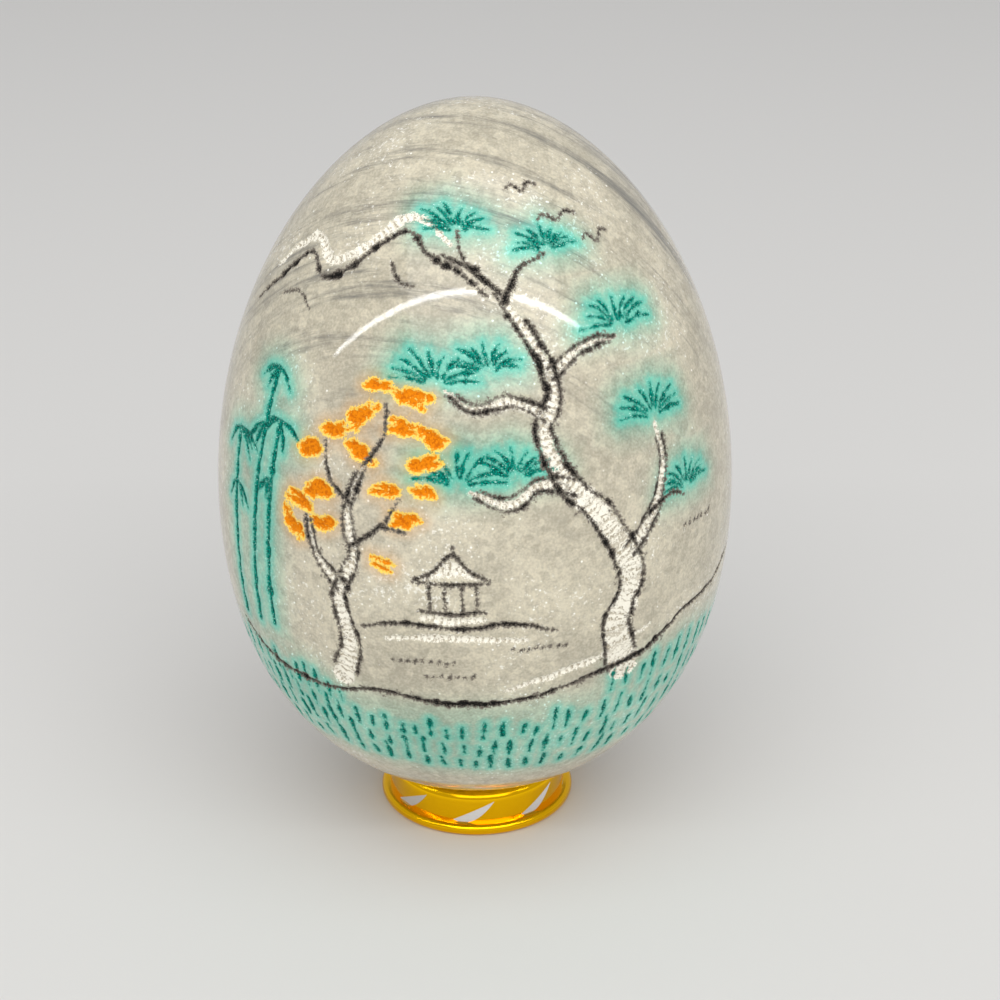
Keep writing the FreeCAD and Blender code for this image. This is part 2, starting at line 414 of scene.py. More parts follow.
@dataclass
class Engraver:
    """Cuts strokes into the skin with a slightly unsteady hand, in millimetres.

    A cut's wall starts at its lip, just outside the edge. The drifts change over so many steps,
    and a halo is followed halo_spread times as far as an edge.
    """

    shape: EggShape
    seed: int = 11
    step: float = 0.22
    span_points: int = 16
    longest_run: int = 24
    spur_spacing: int = 8
    wobble: float = 0.055
    wobble_drift: float = 4
    peck_drift: float = 1.6
    bark_drift: float = 7
    peck_limits: tuple[float, float] = (0.35, 1.8)
    lip: float = 0.04
    wall: float = 0.26
    halo_reach: float = 1.7
    halo_spread: float = 2.0
    wash_softness: float = 1.6
    wash_fall: float = 2.2
    strokes: list[Stroke] = field(default_factory=list)

    def __post_init__(self) -> None:
        """Seeds the hand."""
        self.hand = np.random.default_rng(self.seed)

    def drift(self, count: int, spacing: float) -> np.ndarray:
        """Smooth random values round nought, which change over that many points."""
        knots = self.hand.normal(size=int(count / spacing) + 3)
        return np.interp(np.arange(count) / spacing, np.arange(len(knots)), knots)

    def flowing(self, corners: Corners) -> np.ndarray:
        """Runs a smooth path through corners.

        Args:
            corners: listed, two for a straight path.

        Returns:
            The path's points, one step apart.
        """
        path = knots = np.array(corners, float)
        if len(knots) > 2:
            padded = np.vstack([2 * knots[0] - knots[1], knots, 2 * knots[-1] - knots[-2]])
            share = np.linspace(0, 1, self.span_points, endpoint=False)[:, None]
            spans = []
            for before, start, end, after in zip(padded, padded[1:], padded[2:], padded[3:]):
                bend = 2 * before - 5 * start + 4 * end - after
                twist = 3 * start - 3 * end + after - before
                spans.append(start + 0.5 * share * ((end - before) + share * (bend + share * twist)))
            path = np.vstack([*spans, knots[-1:]])
        lengths = np.concatenate([[0], np.cumsum(np.hypot(*np.diff(path, axis=0).T))])
        marks = np.linspace(0, lengths[-1], max(3, int(lengths[-1] / self.step) + 1))
        return np.column_stack([np.interp(marks, lengths, path[:, axis]) for axis in (0, 1)])

    def spread(self, widths: Widths, count: int) -> np.ndarray:
        """The widths at that many points along a stroke."""
        return np.interp(np.linspace(0, 1, count), np.linspace(0, 1, len(widths)), widths)

    def line(self, spot: Spot, corners: Corners, widths: Widths, cut: Cut) -> None:
        """Cuts one stroke through corners."""
        self.cut_path(spot, self.flowing(corners), widths, cut)

    def cut_path(self, spot: Spot, path: np.ndarray, widths: Widths, cut: Cut) -> None:
        """Cuts one stroke along a path.

        Args:
            spot: what the path is measured from.
            path: its points, one step apart.
            widths: of the stroke.
            cut: how it is cut and filled.
        """
        count = len(path)
        shaken = path + self.wobble * np.column_stack(
            [self.drift(count, self.wobble_drift), self.drift(count, self.wobble_drift)])
        pecks = np.clip(1 + cut.rough * self.drift(count, self.peck_drift), *self.peck_limits)
        halves = self.spread(widths, count) * pecks / 2
        azimuth, arc = spot
        up = arc + shaken[:, 1]
        turn = azimuth + np.degrees(shaken[:, 0] / self.shape.radius_at(up))
        points = self.shape.places(turn, up)
        for first in range(0, count - 1, self.longest_run):
            part = slice(first, min(first + self.longest_run, count - 1) + 1)
            self.strokes.append(Stroke(points[part], halves[part], cut, first * self.step, self.step))

    def limb(self, spot: Spot, corners: Corners, widths: Widths, contour: float) -> None:
        """Cuts a white filled limb with a black contour along each side.

        Args:
            spot: what the corners are measured from.
            corners: along the limb's middle.
            widths: of the white fill.
            contour: width of the black contours.
        """
        path = self.flowing(corners)
        count = len(path)
        even = self.spread(widths, count)
        along = np.gradient(path, axis=0)
        side = np.column_stack([along[:, 1], -along[:, 0]]) / np.hypot(*along.T)[:, None]
        self.cut_path(spot, path, widths, WOOD)
        for sign in (-1, 1):
            bark = even / 2 + contour * (0.3 + 0.22 * self.drift(count, self.bark_drift))
            first = int(count * self.hand.uniform(0, 0.05))
            last = int(count * self.hand.uniform(0.9, 1))
            edge = path + sign * side * bark[:, None]
            weights = contour * self.hand.uniform(0.55, 1.3, 3 + count // 14)
            self.cut_path(spot, edge[first:last], weights, BARK)
            self.spurs(spot, edge[first:last], contour)

    def spurs(self, spot: Spot, path: np.ndarray, width: float) -> None:
        """Cuts short stray pecks that leave a black contour at a slant.

        Args:
            spot: what the path is measured from.
            path: the contour's points, one step apart.
            width: of the contour.
        """
        place = int(self.hand.integers(2, self.spur_spacing))
        while place < len(path) - 3:
            ahead = path[place + 2] - path[place]
            turn = self.hand.choice((-1, 1)) * self.hand.uniform(0.45, 1.2)
            slanted = (ahead[0] * math.cos(turn) - ahead[1] * math.sin(turn),
                       ahead[0] * math.sin(turn) + ahead[1] * math.cos(turn))
            reach = self.hand.uniform(0.45, 0.95) * width / math.hypot(*ahead)
            end = path[place] + reach * 1.5 * np.array(slanted)
            self.cut_path(spot, np.linspace(path[place], end, 4), (width * 0.45, width * 0.2), PECK)
            place += int(self.hand.integers(3, self.spur_spacing))

    def measure(self, places: np.ndarray, reach: float = 2.2) -> Fields:
        """Works out what all strokes do at places on the skin.

        Args:
            places: one row of x, y and z for each.
            reach: how far from a stroke's edge its field is still worked out.

        Returns:
            The fields at each place.
        """
        fields = Fields(len(places))
        order = places[:, 2].argsort()
        x, y, z = (places[order, axis] for axis in range(3))
        for stroke in self.strokes:
            cut = stroke.cut
            soft = cut.pigment is Pigment.WASH
            out = stroke.halves.max() + (self.halo_spread if soft or cut.halo else 1) * reach
            low, high = stroke.points.min(axis=0) - out, stroke.points.max(axis=0) + out
            first, last = z.searchsorted((low[2], high[2]))
            part = slice(first, last)
            close = (x[part] > low[0]) & (x[part] < high[0]) & (y[part] > low[1]) & (y[part] < high[1])
            near = order[part][close]
            if not near.size:
                continue
            inside, along = stroke.measure(places[near])
            if soft:
                level = cut.halo / (1 + np.exp(-self.wash_fall * inside / self.wash_softness))
                fields.wash[near] = np.maximum(fields.wash[near], level)
                continue
            edge = fields.edges[cut.pigment]
            if cut.pigment in fields.runs:
                run = fields.runs[cut.pigment]
                run[near] = np.where(inside > edge[near], along, run[near])
            edge[near] = np.maximum(edge[near], inside)
            slope = np.clip((inside + self.lip) / self.wall, 0, 1)
            sunk = cut.depth * slope * slope * (3 - 2 * slope)
            fields.depth[near] = np.maximum(fields.depth[near], sunk)
            if cut.halo:
                fade = np.exp(-(np.minimum(inside, 0) / self.halo_reach) ** 2)
                fields.wash[near] = np.maximum(fields.wash[near], cut.halo * fade)
        return fields


# The picture's motifs

@dataclass
class Landscape:
    """A simple traditional landscape: a bank with an old pine, a maple, bamboo and far hills.

    A motif's spot is where it stands, and its points are millimetres to the right and up from it.
    """

    engraver: Engraver

    def draw(self) -> None:
        """Draws every motif."""
        self.banks()
        self.pine()
        self.maple()
        self.bamboo((-54, 38.5))
        self.pavilion()
        self.hills()
        self.birds()
        self.grass()
        self.water()
        self.far_side()

    def banks(self) -> None:
        """The near bank's edge round the front, and a crumbly pale line above part of it."""
        spot = (0, 31.6)
        edge = [(34, 11), (29, 9.2), (23, 8.4), (17, 5.6), (11, 4.6), (5, 3.0), (-2, 2.6),
                (-9, 3.4), (-15, 2.2), (-22, 2.8), (-28, 5.2)]
        self.engraver.line(spot, edge, (0.3, 0.5, 0.7, 0.5, 0.75, 0.45, 0.6, 0.3), BANK)
        self.engraver.spurs(spot, self.engraver.flowing(edge), 0.6)
        self.engraver.line((0, 32.9), [(3, 3.0), (8, 4.4), (13, 5.6), (18, 7.4)],
                           (0.3, 0.8, 0.6, 0.3), CHALK)

    def pine(self) -> None:
        """An old leaning pine at the right, with needle pads on its boughs."""
        spot = (33, 36.5)
        trunk = [(0.6, 0), (-0.7, 5.0), (0.7, 10.0), (-2.4, 16.0), (-6.0, 20.5), (-7.2, 24.5),
                 (-5.6, 28.5), (-6.8, 33.0), (-8.6, 37.5)]
        self.engraver.limb(spot, trunk, (3.3, 2.6, 2.4, 2.2, 1.8, 1.5, 1.1, 0.8, 0.4), 0.52)
        boughs = [([(-4.6, 19.2), (-8.0, 20.0), (-11.2, 18.4), (-14.6, 19.6)], (1.2, 0.9, 0.5)),
                  ([(0.4, 12.0), (3.4, 15.4), (5.0, 19.8), (4.4, 23.4)], (1.3, 0.9, 0.4)),
                  ([(-6.6, 26.0), (-10.0, 27.6), (-13.2, 27.0), (-15.4, 28.6)], (0.9, 0.6, 0.3)),
                  ([(-5.8, 29.6), (-2.2, 31.8), (1.6, 32.0)], (0.8, 0.6, 0.3))]
        for corners, widths in boughs:
            self.engraver.limb(spot, corners, widths, 0.4)
        twigs = [[(-8.4, 37.2), (-10.6, 40.4), (-10.2, 43.0)],
                 [(-8.2, 36.4), (-6.0, 39.4), (-3.2, 40.6)],
                 [(-9.8, 39.4), (-12.4, 40.8)], [(3.0, 15.4), (5.8, 16.4), (7.6, 15.8)]]
        for corners in twigs:
            self.engraver.line(spot, corners, (0.7, 0.5, 0.3), INK)
        pads = [(-15.6, 20.2, 3.3), (-10.4, 21.0, 2.7), (4.4, 24.2, 3.3), (8.2, 16.4, 2.7),
                (-16.2, 29.2, 3.1), (-11.2, 30.4, 2.5), (2.2, 33.0, 3.0), (-10.2, 43.2, 2.6),
                (-2.8, 41.0, 2.4)]
        for x, y, length in pads:
            self.needle_pad(spot, x, y, length)

    def needle_pad(self, spot: Spot, x: float, y: float, length: float, count: int = 9) -> None:
        """A flat fan of pine needles with its airbrushed halo.

        Args:
            spot: where the pine stands.
            x: millimetres to the right of the spot.
            y: millimetres up from it.
            length: of the needles, about.
            count: how many there are.
        """
        hand = self.engraver.hand
        for place in range(count):
            angle = math.radians(4 + 172 * place / (count - 1) + hand.uniform(-5, 5))
            tip = length * hand.uniform(0.85, 1.1)
            reach = (math.cos(angle) * tip * 1.3, math.sin(angle) * tip * 0.95)
            start = (x + reach[0] * 0.24, y + reach[1] * 0.24)
            middle = (x + reach[0] * 0.6, y + reach[1] * 0.64 + 0.2)
            end = (x + reach[0], y + reach[1])
            self.engraver.line(spot, [start, middle, end], (0.3, 0.42, 0.22), NEEDLE)

    def maple(self) -> None:
        """A slim maple at the left, with loose orange leaves."""
        spot = (-29, 36.0)
        trunk = [(0, 0), (1.2, 4.2), (0.3, 8.6), (1.9, 13.0), (1.2, 17.6), (2.6, 21.8)]
        self.engraver.limb(spot, trunk, (2.0, 1.5, 1.2, 0.9, 0.6, 0.3), 0.44)
        self.engraver.limb(spot, [(0.8, 9.6), (-2.2, 12.6), (-3.2, 16.2)], (0.9, 0.6, 0.3), 0.42)
        twigs = [[(1.6, 14.0), (4.6, 16.4), (6.2, 19.0)], [(1.4, 18.0), (-1.0, 20.4), (-1.6, 23.4)],
                 [(2.6, 21.8), (4.2, 24.6), (4.0, 27.4)], [(4.4, 16.4), (7.0, 16.0)]]
        for corners in twigs:
            self.engraver.line(spot, corners, (0.6, 0.45, 0.28), INK)
        leaves = [(-4.4, 17.4, 165), (-2.2, 18.6, 10), (-5.0, 14.8, 120), (-1.4, 15.8, 175),
                  (5.0, 19.6, 10), (8.2, 20.0, 170), (6.8, 17.2, 0), (8.6, 25.0, 150),
                  (-3.2, 22.6, 15), (-0.6, 24.8, 5), (2.0, 23.0, 170), (5.6, 25.6, 0),
                  (3.2, 29.0, 10), (6.6, 28.2, 165), (1.8, 26.6, 60), (4.4, 12.8, 165),
                  (8.0, 22.8, 20)]
        for x, y, slant in leaves:
            self.leaf(spot, x, y, slant)

    def leaf(self, spot: Spot, x: float, y: float, slant: float, size: float = 1.5) -> None:
        """An uneven dab of orange, from a few short broad cuts that point nearly the same way.

        Args:
            spot: where the maple stands.
            x: millimetres to the right of the spot.
            y: millimetres up from it.
            slant: the way that the cuts point, in degrees turned up from the right.
            size: half the longest cut, about.
        """
        hand = self.engraver.hand
        for _ in range(hand.integers(2, 5)):
            turn = math.radians(slant + hand.uniform(-18, 18))
            half = size * hand.uniform(0.5, 1.1)
            middle = (x + hand.uniform(-0.5, 0.5), y + hand.uniform(-0.45, 0.45))
            reach = (math.cos(turn) * half, math.sin(turn) * half)
            start = (middle[0] - reach[0], middle[1] - reach[1])
            end = (middle[0] + reach[0], middle[1] + reach[1])
            widths = (0.25, hand.uniform(0.65, 1.0), hand.uniform(0.55, 0.95), 0.25)
            self.engraver.line(spot, [start, middle, end], widths, LEAF)

    def bamboo(self, spot: Spot, joints: int = 5) -> None:
        """Jointed canes with sprays of long leaves.

        Args:
            spot: where it stands.
            joints: how many a cane has.
        """
        hand, line = self.engraver.hand, partial(self.engraver.line, spot)
        for x, y, lean, height in ((0, 0, 1.4, 26), (2.6, 0.6, 0.6, 21), (-3.0, -0.2, -0.4, 19)):
            for part in range(joints):
                ends = (part / joints, (part + 0.9) / joints)
                line([(x + lean * end, y + height * end) for end in ends], (0.62, 0.48, 0.66), CANE)
        for x, y, count in ((1.4, 26, 4), (0.9, 20.5, 3), (3.1, 21.4, 4), (2.9, 15.6, 3),
                            (-3.4, 18.8, 4), (-3.2, 13.6, 3)):
            for _ in range(count):
                angle = math.radians(hand.uniform(200, 340))
                length = hand.uniform(2.6, 4.2)
                tip = (x + math.cos(angle) * length, y + math.sin(angle) * length * 0.8)
                middle = ((x + tip[0]) / 2, (y + tip[1]) / 2 + 0.4)
                line([(x, y), middle, tip], (0.25, 0.62, 0.16), BLADE)

    def pavilion(self) -> None:
        """A small open pavilion on a low far bank."""
        line = partial(self.engraver.line, (-4, 43.8))
        line([(-2.6, 4.3), (-0.1, 5.1), (2.4, 4.3)], (0.5, 1.3, 0.5), ROOF)
        line([(-3.4, 3.9), (-1.8, 4.6), (0, 6.4), (1.8, 4.6), (3.4, 3.9)], (0.4, 0.5, 0.4), INK)
        line([(-3.3, 3.7), (0, 3.5), (3.3, 3.7)], (0.35, 0.45, 0.35), INK)
        line([(0, 6.4), (0, 7.4)], (0.45, 0.3), INK)
        for x in (-2.1, -0.7, 0.9, 2.2):
            line([(x, 3.4), (x + 0.05, 0.9)], (0.35, 0.3), INK)
        line([(-3.0, 0.8), (0, 0.6), (3.0, 0.8)], (0.4, 0.5, 0.4), INK)
        line([(-2.8, 0.1), (0, -0.1), (2.8, 0.1)], (0.5, 0.8, 0.5), ROOF)
        line([(-8.6, -1.5), (-4.0, -0.7), (0.6, -1.0), (5.4, -0.5), (9.6, -1.6)],
             (0.3, 0.6, 0.5, 0.6, 0.3), INK)
        line([(-6.4, -2.5), (-1.8, -1.9), (3.8, -2.1), (7.0, -2.4)], (0.3, 0.7, 0.6, 0.3), CHALK)

    def hills(self) -> None:
        """Far hills at the upper left: a broken black line with a crumbly white one above it."""
        line = partial(self.engraver.line, (-30, 73))
        line([(-16, -4.2), (-12.4, -1.4), (-9.6, 1.2), (-7.4, 2.4), (-5.2, 0.6), (-2.4, 2.0),
              (0.4, 5.0), (2.6, 6.2), (5.0, 4.2), (8.4, 2.6), (11.4, 0.4)],
             (0.3, 0.6, 0.45, 0.7, 0.4, 0.6, 0.3), RIDGE)
        line([(-13.2, -0.2), (-9.8, 2.8), (-7.2, 4.0), (-4.6, 2.2), (-1.4, 4.2), (1.6, 7.4),
              (3.8, 7.4), (6.6, 5.2)], (0.4, 0.9, 0.7, 0.9, 0.4), SNOW)
        line([(-10.6, -2.2), (-7.8, -1.4), (-5.8, -2.6)], (0.3, 0.45, 0.25), INK)
        line([(1.8, 3.2), (3.0, 1.6), (4.6, 1.2)], (0.35, 0.45, 0.25), INK)

    def birds(self) -> None:
        """A few birds, each two short curved cuts."""
        for azimuth, arc, span in ((30, 80, 1.9), (42, 77.5, 1.5), (20, 83.4, 1.4), (-150, 74, 1.8),
                                   (-162, 77, 1.5)):
            wings = ([(-span, 0.35), (-span * 0.55, 0.75), (-0.1, 0)],
                     [(0.1, 0), (span * 0.6, 0.85), (span * 1.1, 0.6)])
            for wing in wings:
                self.engraver.line((azimuth, arc), wing, (0.22, 0.42, 0.34), PECK)

    def grass(self, band: float = 24.0) -> None:
        """Rows of short upright teal cuts over a soft wash, round the lower part.

        Args:
            band: how many degrees one stroke of the wash covers.
        """
        hand = self.engraver.hand
        for arc, start, end, spacing in ((33.2, -76, -30, 3.8), (33.4, 32, 80, 4.0), (30.4, -74, 78, 4.0),
                                         (27.5, -68, 72, 4.4), (24.8, -54, 58, 5.2)):
            azimuth = start
            while azimuth < end:
                lift = hand.uniform(-0.3, 0.3) + 0.9 * math.sin(math.radians(azimuth * 2.2 + arc * 9))
                tall = hand.uniform(1.1, 3.0)
                lean = hand.uniform(-0.15, 0.2)
                self.engraver.line((azimuth, arc + lift), [(0, 0), (lean, tall)], (0.3, 0.46, 0.3), GRASS)
                azimuth += spacing * hand.uniform(0.75, 1.25)
        for arc, start, end, half in ((31.2, -70, 74, 2.7), (27.8, -60, 64, 2.1)):
            for azimuth in np.arange(start, end, band):
                wide = min(azimuth + band, end)
                reach = math.radians(wide - azimuth) * float(self.engraver.shape.radius_at(arc))
                self.engraver.line((azimuth, arc), [(0, 0), (reach, 0)], (2 * half,) * 2, MIST)

    def water(self) -> None:
        """Rows of tiny ticks for ripples."""
        hand = self.engraver.hand
        for azimuth, arc, count in ((-17, 39.0, 9), (8, 40.4, 8), (-10, 37.4, 7), (50, 49, 7)):
            for place in range(count):
                x = place * 0.72
                tick = (x + hand.uniform(0.12, 0.34), hand.uniform(0.15, 0.45))
                self.engraver.line((azimuth, arc), [(x, 0), tick], (0.28, 0.28), RIPPLE)

    def far_side(self) -> None:
        """The sparse back: low hills, a bank and a clump of bamboo."""
        line = self.engraver.line
        line((175, 62), [(-20, 0), (-15.4, 3.4), (-11.0, 1.6), (-6.0, 5.2), (-1.6, 2.2), (4.6, 3.4),
                         (9.0, 0.6)], (0.3, 0.6, 0.4, 0.6, 0.3), RIDGE)
        line((175, 63.4), [(-13.6, 2.8), (-10.2, 2.4), (-6.2, 5.4), (-2.4, 3.4)], (0.4, 0.8, 0.4), SNOW)
        line((160, 33), [(-16, 3.0), (-8, 0.8), (0, 1.6), (8, 0), (17, 2.2)], (0.3, 0.7, 0.5, 0.7, 0.3),
             RIDGE)
        self.bamboo((150, 35))


# The stone

@dataclass
class StoneEgg:
    """The egg: a spun skin, made fine near the cuts, carved, and painted by attributes.

    Lengths are millimetres. Mesh edges are about the finest length within the first margin of a
    cut, and each coarser length within the next one. An edge is halved where it is longest_share
    times as long. The unpolished margin keeps the mesh's own directions, and grit is the height
    of the crumbs on a cut's floor.
    """

    node: str = "stone_egg"
    body: str = "egg"
    slot: str = "marble"
    columns: int = 112
    rows: int = 68
    rounds: int = 6
    finest: float = 0.19
    coarser: tuple[float, ...] = (0.38, 0.76)
    margins: tuple[float, ...] = (0.2, 0.6, 1.5)
    longest_share: float = 1.38
    unpolished: float = 0.2
    grit: float = 0.05
    grit_per_mm: tuple[float, float] = (3.1, 6.7)
    grit_full_depth: float = 0.1
    shallowest: float = 0.004

    def __post_init__(self) -> None:
        """Takes the foot's height from the CAD node and draws the picture."""
        low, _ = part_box(self.node)
        self.shape = EggShape(foot=low.z / MM)
        self.engraver = Engraver(self.shape)
        Landscape(self.engraver).draw()

    def spin_skin(self) -> BMesh:
        """Spins the outline about the upright axis.

        Returns:
            The smooth skin, in triangles.
        """
        arcs = np.linspace(0, self.shape.arcs[-1], self.rows + 1)
        points = self.shape.places(np.zeros(len(arcs)), arcs)
        points[[0, -1], :2] = 0
        bm = spin_outline(points, False, self.columns)
        bmesh.ops.triangulate(bm, faces=bm.faces[:])
        return bm

    def wanted(self, places: np.ndarray) -> np.ndarray:
        """Finds how long a mesh edge may be.

        Args:
            places: one row of x, y and z for each edge's middle.

        Returns:
            The longest that each edge may be.
        """
        inside = self.engraver.measure(places, self.margins[-1]).nearest()
        size = np.full(len(places), np.inf)
        for margin, length in zip(self.margins[::-1], (*self.coarser[::-1], self.finest)):
            size[inside > -margin] = length
        return size

    def refine(self, bm: BMesh) -> None:
        """Halves edges near the cuts until each is short enough, keeping the skin's shape.

        Args:
            bm: the skin.
        """
        for _ in range(self.rounds):
            edges = list(bm.edges)
            ends = np.array([(*edge.verts[0].co, *edge.verts[1].co) for edge in edges])
            lengths = np.linalg.norm(ends[:, :3] - ends[:, 3:], axis=1)
            long = np.flatnonzero(lengths > self.longest_share * self.finest)
            middle = self.shape.onto_skin((ends[long, :3] + ends[long, 3:]) / 2)
            split = long[lengths[long] > self.longest_share * self.wanted(middle)]
            if not split.size:
                break
            bmesh.ops.subdivide_edges(bm, edges=[edges[place] for place in split], cuts=1)
            bmesh.ops.triangulate(bm, faces=[face for face in bm.faces if len(face.verts) > 3])
            skin = self.shape.onto_skin(np.array([vertex.co for vertex in bm.verts]))
            for vertex, place in zip(bm.verts, skin):
                vertex.co = place

    def carve(self, places: np.ndarray, fields: Fields) -> np.ndarray:
        """Sinks the cuts into the skin and leaves their floors gritty.

        Args:
            places: one row of x, y and z for each vertex.
            fields: what the strokes do there.

        Returns:
            The carved places.
        """
        depth = fields.depth.copy()
        coarse, fine = self.grit_per_mm
        for place in np.flatnonzero(depth > self.shallowest):
            spot = Vector(places[place])
            grain = noise.noise(spot * coarse) + 0.6 * noise.noise(spot * fine)
            depth[place] += self.grit * grain * min(1, depth[place] / self.grit_full_depth)
        return places - self.shape.normals(places) * np.maximum(depth, 0)[:, None]

    def engrave(self, mesh: Mesh) -> None:
        """Carves the mesh, gives it metres, and adds one attribute for each layer of paint.

        Args:
            mesh: the fine smooth skin, in millimetres.
        """
        places = np.zeros(len(mesh.vertices) * 3)
        mesh.vertices.foreach_get("co", places)
        places = places.reshape(-1, 3)
        fields = self.engraver.measure(places)
        mesh.vertices.foreach_set("co", (self.carve(places, fields) * MM).ravel())
        for name, values in fields.layers().items():
            layer = mesh.attributes.new(name, "FLOAT", "POINT")
            layer.data.foreach_set("value", values.astype(np.float32))
        mesh.shade_smooth()
        mesh.update()
        self.true_normals(mesh, places, fields)

    def true_normals(self, mesh: Mesh, places: np.ndarray, fields: Fields) -> None:
        """Gives the polished skin its exact directions, so that reflections run smoothly.

        Args:
            mesh: the carved egg.
            places: where its vertices lay on the smooth skin.
            fields: what the strokes do there.
        """
        made = np.zeros(len(mesh.vertices) * 3)
        mesh.vertex_normals.foreach_get("vector", made)
        made = made.reshape(-1, 3)
        polished = fields.nearest() < -self.unpolished
        made[polished] = self.shape.normals(places)[polished]
        mesh.normals_split_custom_set_from_vertices(made.tolist())

    def build(self) -> None:
        """Makes the egg, dresses it and sets it on its body."""
        bm = self.spin_skin()
        self.refine(bm)
        egg = add_object("egg_marble", bm)
        self.engrave(egg.data)
        egg.data.materials.append(PolishedMarble().build())
        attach(egg, self.body)
        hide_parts(self.node)
        log.info("egg_marble: %d triangles, %d stroke runs", len(egg.data.polygons),
                 len(self.engraver.strokes))


# The ring

@dataclass
class RingStand:
    """The turned ring with its flange, rounded shoulder and slanted cuts, in millimetres."""

    node: str = "ring_stand"
    body: str = "ring_stand"
    slot: str = "gold_anodised"
    wall_radius: float = 9.4
    wall_height: float = 4.8
    wall_thickness: float = 1.75
    shoulder_round: float = 1.25
    flange_radius: float = 10.3
    flange_thickness: float = 1.2
    flange_round: float = 0.55
    bore_chamfer: float = 0.2
    seat_chamfer: float = 0.3
    facet_depth: float = 0.25
    facet_width: float = 0.95
    facet_rise: float = 0.12
    facet_slant: float = 27.0
    facet_turn: float = -1.5
    facet_count: int = 8
    cutter_spare: float = 1.06
    columns: int = 240
    shoulder_steps: int = 12
    flange_steps: int = 8
    sharp_angle: float = 30.0

    def round_rim(self, bm: BMesh, radius: float, height: float, offset: float,
                  segments: int) -> None:
        """Rounds or chamfers the rim that lies at a radius and height.

        Args:
            bm: the ring so far.
            radius: of the rim.
            height: of the rim.
            offset: how far from the rim the new edges start.
            segments: how many faces the round has, one for a chamfer.
        """
        def on_rim(vertex: BMVert) -> bool:
            """Whether a vertex lies on the rim."""
            flat = math.hypot(vertex.co.x, vertex.co.y)
            return abs(flat - radius) < MERGE and abs(vertex.co.z - height) < MERGE

        rim = [edge for edge in bm.edges if all(on_rim(vertex) for vertex in edge.verts)]
        bmesh.ops.bevel(bm, geom=rim, offset=offset, offset_type="OFFSET", affect="EDGES",
                        segments=segments, profile=0.5, material=-1)

    def make_tube(self) -> Object:
        """Spins the ring's section and rounds its rims.

        Returns:
            The ring without its cuts.
        """
        bore, wall, flange = self.wall_radius - self.wall_thickness, self.wall_radius, self.flange_radius
        top, step = self.wall_height, self.flange_thickness
        section = [(bore, 0), (flange, 0), (flange, step), (wall, step), (wall, top), (bore, top)]
        bm = spin_outline([(0, -radius, height) for radius, height in section], True, self.columns)
        for rim in ((wall, top, self.shoulder_round, self.shoulder_steps),
                    (flange, step, self.flange_round, self.flange_steps),
                    (flange, 0, self.flange_round, self.flange_steps),
                    (bore, top, self.seat_chamfer, 1), (bore, 0, self.bore_chamfer, 1)):
            self.round_rim(bm, *rim)
        return add_object("ring_gold", bm)

    def make_cutters(self) -> Object:
        """Makes the flat leaning cutters, one for each facet.

        Returns:
            All of them as one object.
        """
        chord = 2 * math.sqrt(self.wall_radius**2 - (self.wall_radius - self.facet_depth) ** 2)
        lean = math.atan(self.facet_depth / self.facet_width)
        slant = math.radians(self.facet_slant)
        length = self.cutter_spare * chord / math.cos(slant)
        width = self.cutter_spare * self.facet_width / math.cos(lean)
        height = self.cutter_spare * self.facet_depth / math.cos(lean)
        middle = (self.flange_thickness + self.wall_height - self.shoulder_round) / 2 + self.facet_rise
        outwards = Matrix.Translation((0, -(self.wall_radius - self.facet_depth), middle))
        upright = Matrix.Rotation(math.radians(90), 4, "X")
        slanted = Matrix.Rotation(slant, 4, "Z")
        leaning = Matrix.Rotation(-lean, 4, "X")
        placed = Matrix.Translation((0, -width / 2, height / 2))
        sized = Matrix.Diagonal((length, width, height, 1))
        bm = bmesh.new()
        for place in range(self.facet_count):
            turn = math.radians(self.facet_turn + 360 * place / self.facet_count)
            about = Matrix.Rotation(turn, 4, "Z")
            bmesh.ops.create_cube(bm, size=1,
                                  matrix=about @ outwards @ upright @ slanted @ leaning @ placed @ sized)
        level = Vector((0, 0, self.flange_thickness))
        bmesh.ops.bisect_plane(bm, geom=bm.verts[:] + bm.edges[:] + bm.faces[:], plane_co=level,
                               plane_no=(0, 0, 1), clear_inner=True)
        bmesh.ops.holes_fill(bm, edges=[edge for edge in bm.edges if edge.is_boundary])
        bmesh.ops.recalc_face_normals(bm, faces=bm.faces[:])
        return add_object("cutters", bm)

    def cut_facets(self, ring: Object) -> None:
        """Cuts the facets out of the ring, leaving the cutters' bare metal on them.

        Args:
            ring: the ring without its cuts.
        """
        cutters = self.make_cutters()
        ring.data.materials.append(GOLD.build())
        cutters.data.materials.append(BARE.build())
        modifier = ring.modifiers.new("facets", "BOOLEAN")
        modifier.operation = "DIFFERENCE"
        modifier.solver = "EXACT"
        modifier.material_mode = "TRANSFER"
        modifier.object = cutters
        graph = bpy.context.evaluated_depsgraph_get()
        cut = bpy.data.meshes.new_from_object(ring.evaluated_get(graph))
        ring.modifiers.clear()
        whole = ring.data
        ring.data = cut
        bpy.data.meshes.remove(whole)
        bpy.data.objects.remove(cutters)

    def shade(self, ring: Object) -> None:
        """Smooths faces, keeps edges hard round the facets and at real corners, and gives metres.

        Args:
            ring: the ring with its cuts, in millimetres.
        """
        bm = bmesh.new()
        bm.from_mesh(ring.data)
        bmesh.ops.remove_doubles(bm, verts=bm.verts[:], dist=MERGE / 2)
        for face in bm.faces:
            face.smooth = True
        for edge in bm.edges:
            metals = {face.material_index for face in edge.link_faces}
            edge.smooth = len(metals) == 1 and edge.calc_face_angle(0) <= math.radians(self.sharp_angle)
        bmesh.ops.scale(bm, vec=(MM, MM, MM), verts=bm.verts[:])
        bm.to_mesh(ring.data)
        bm.free()

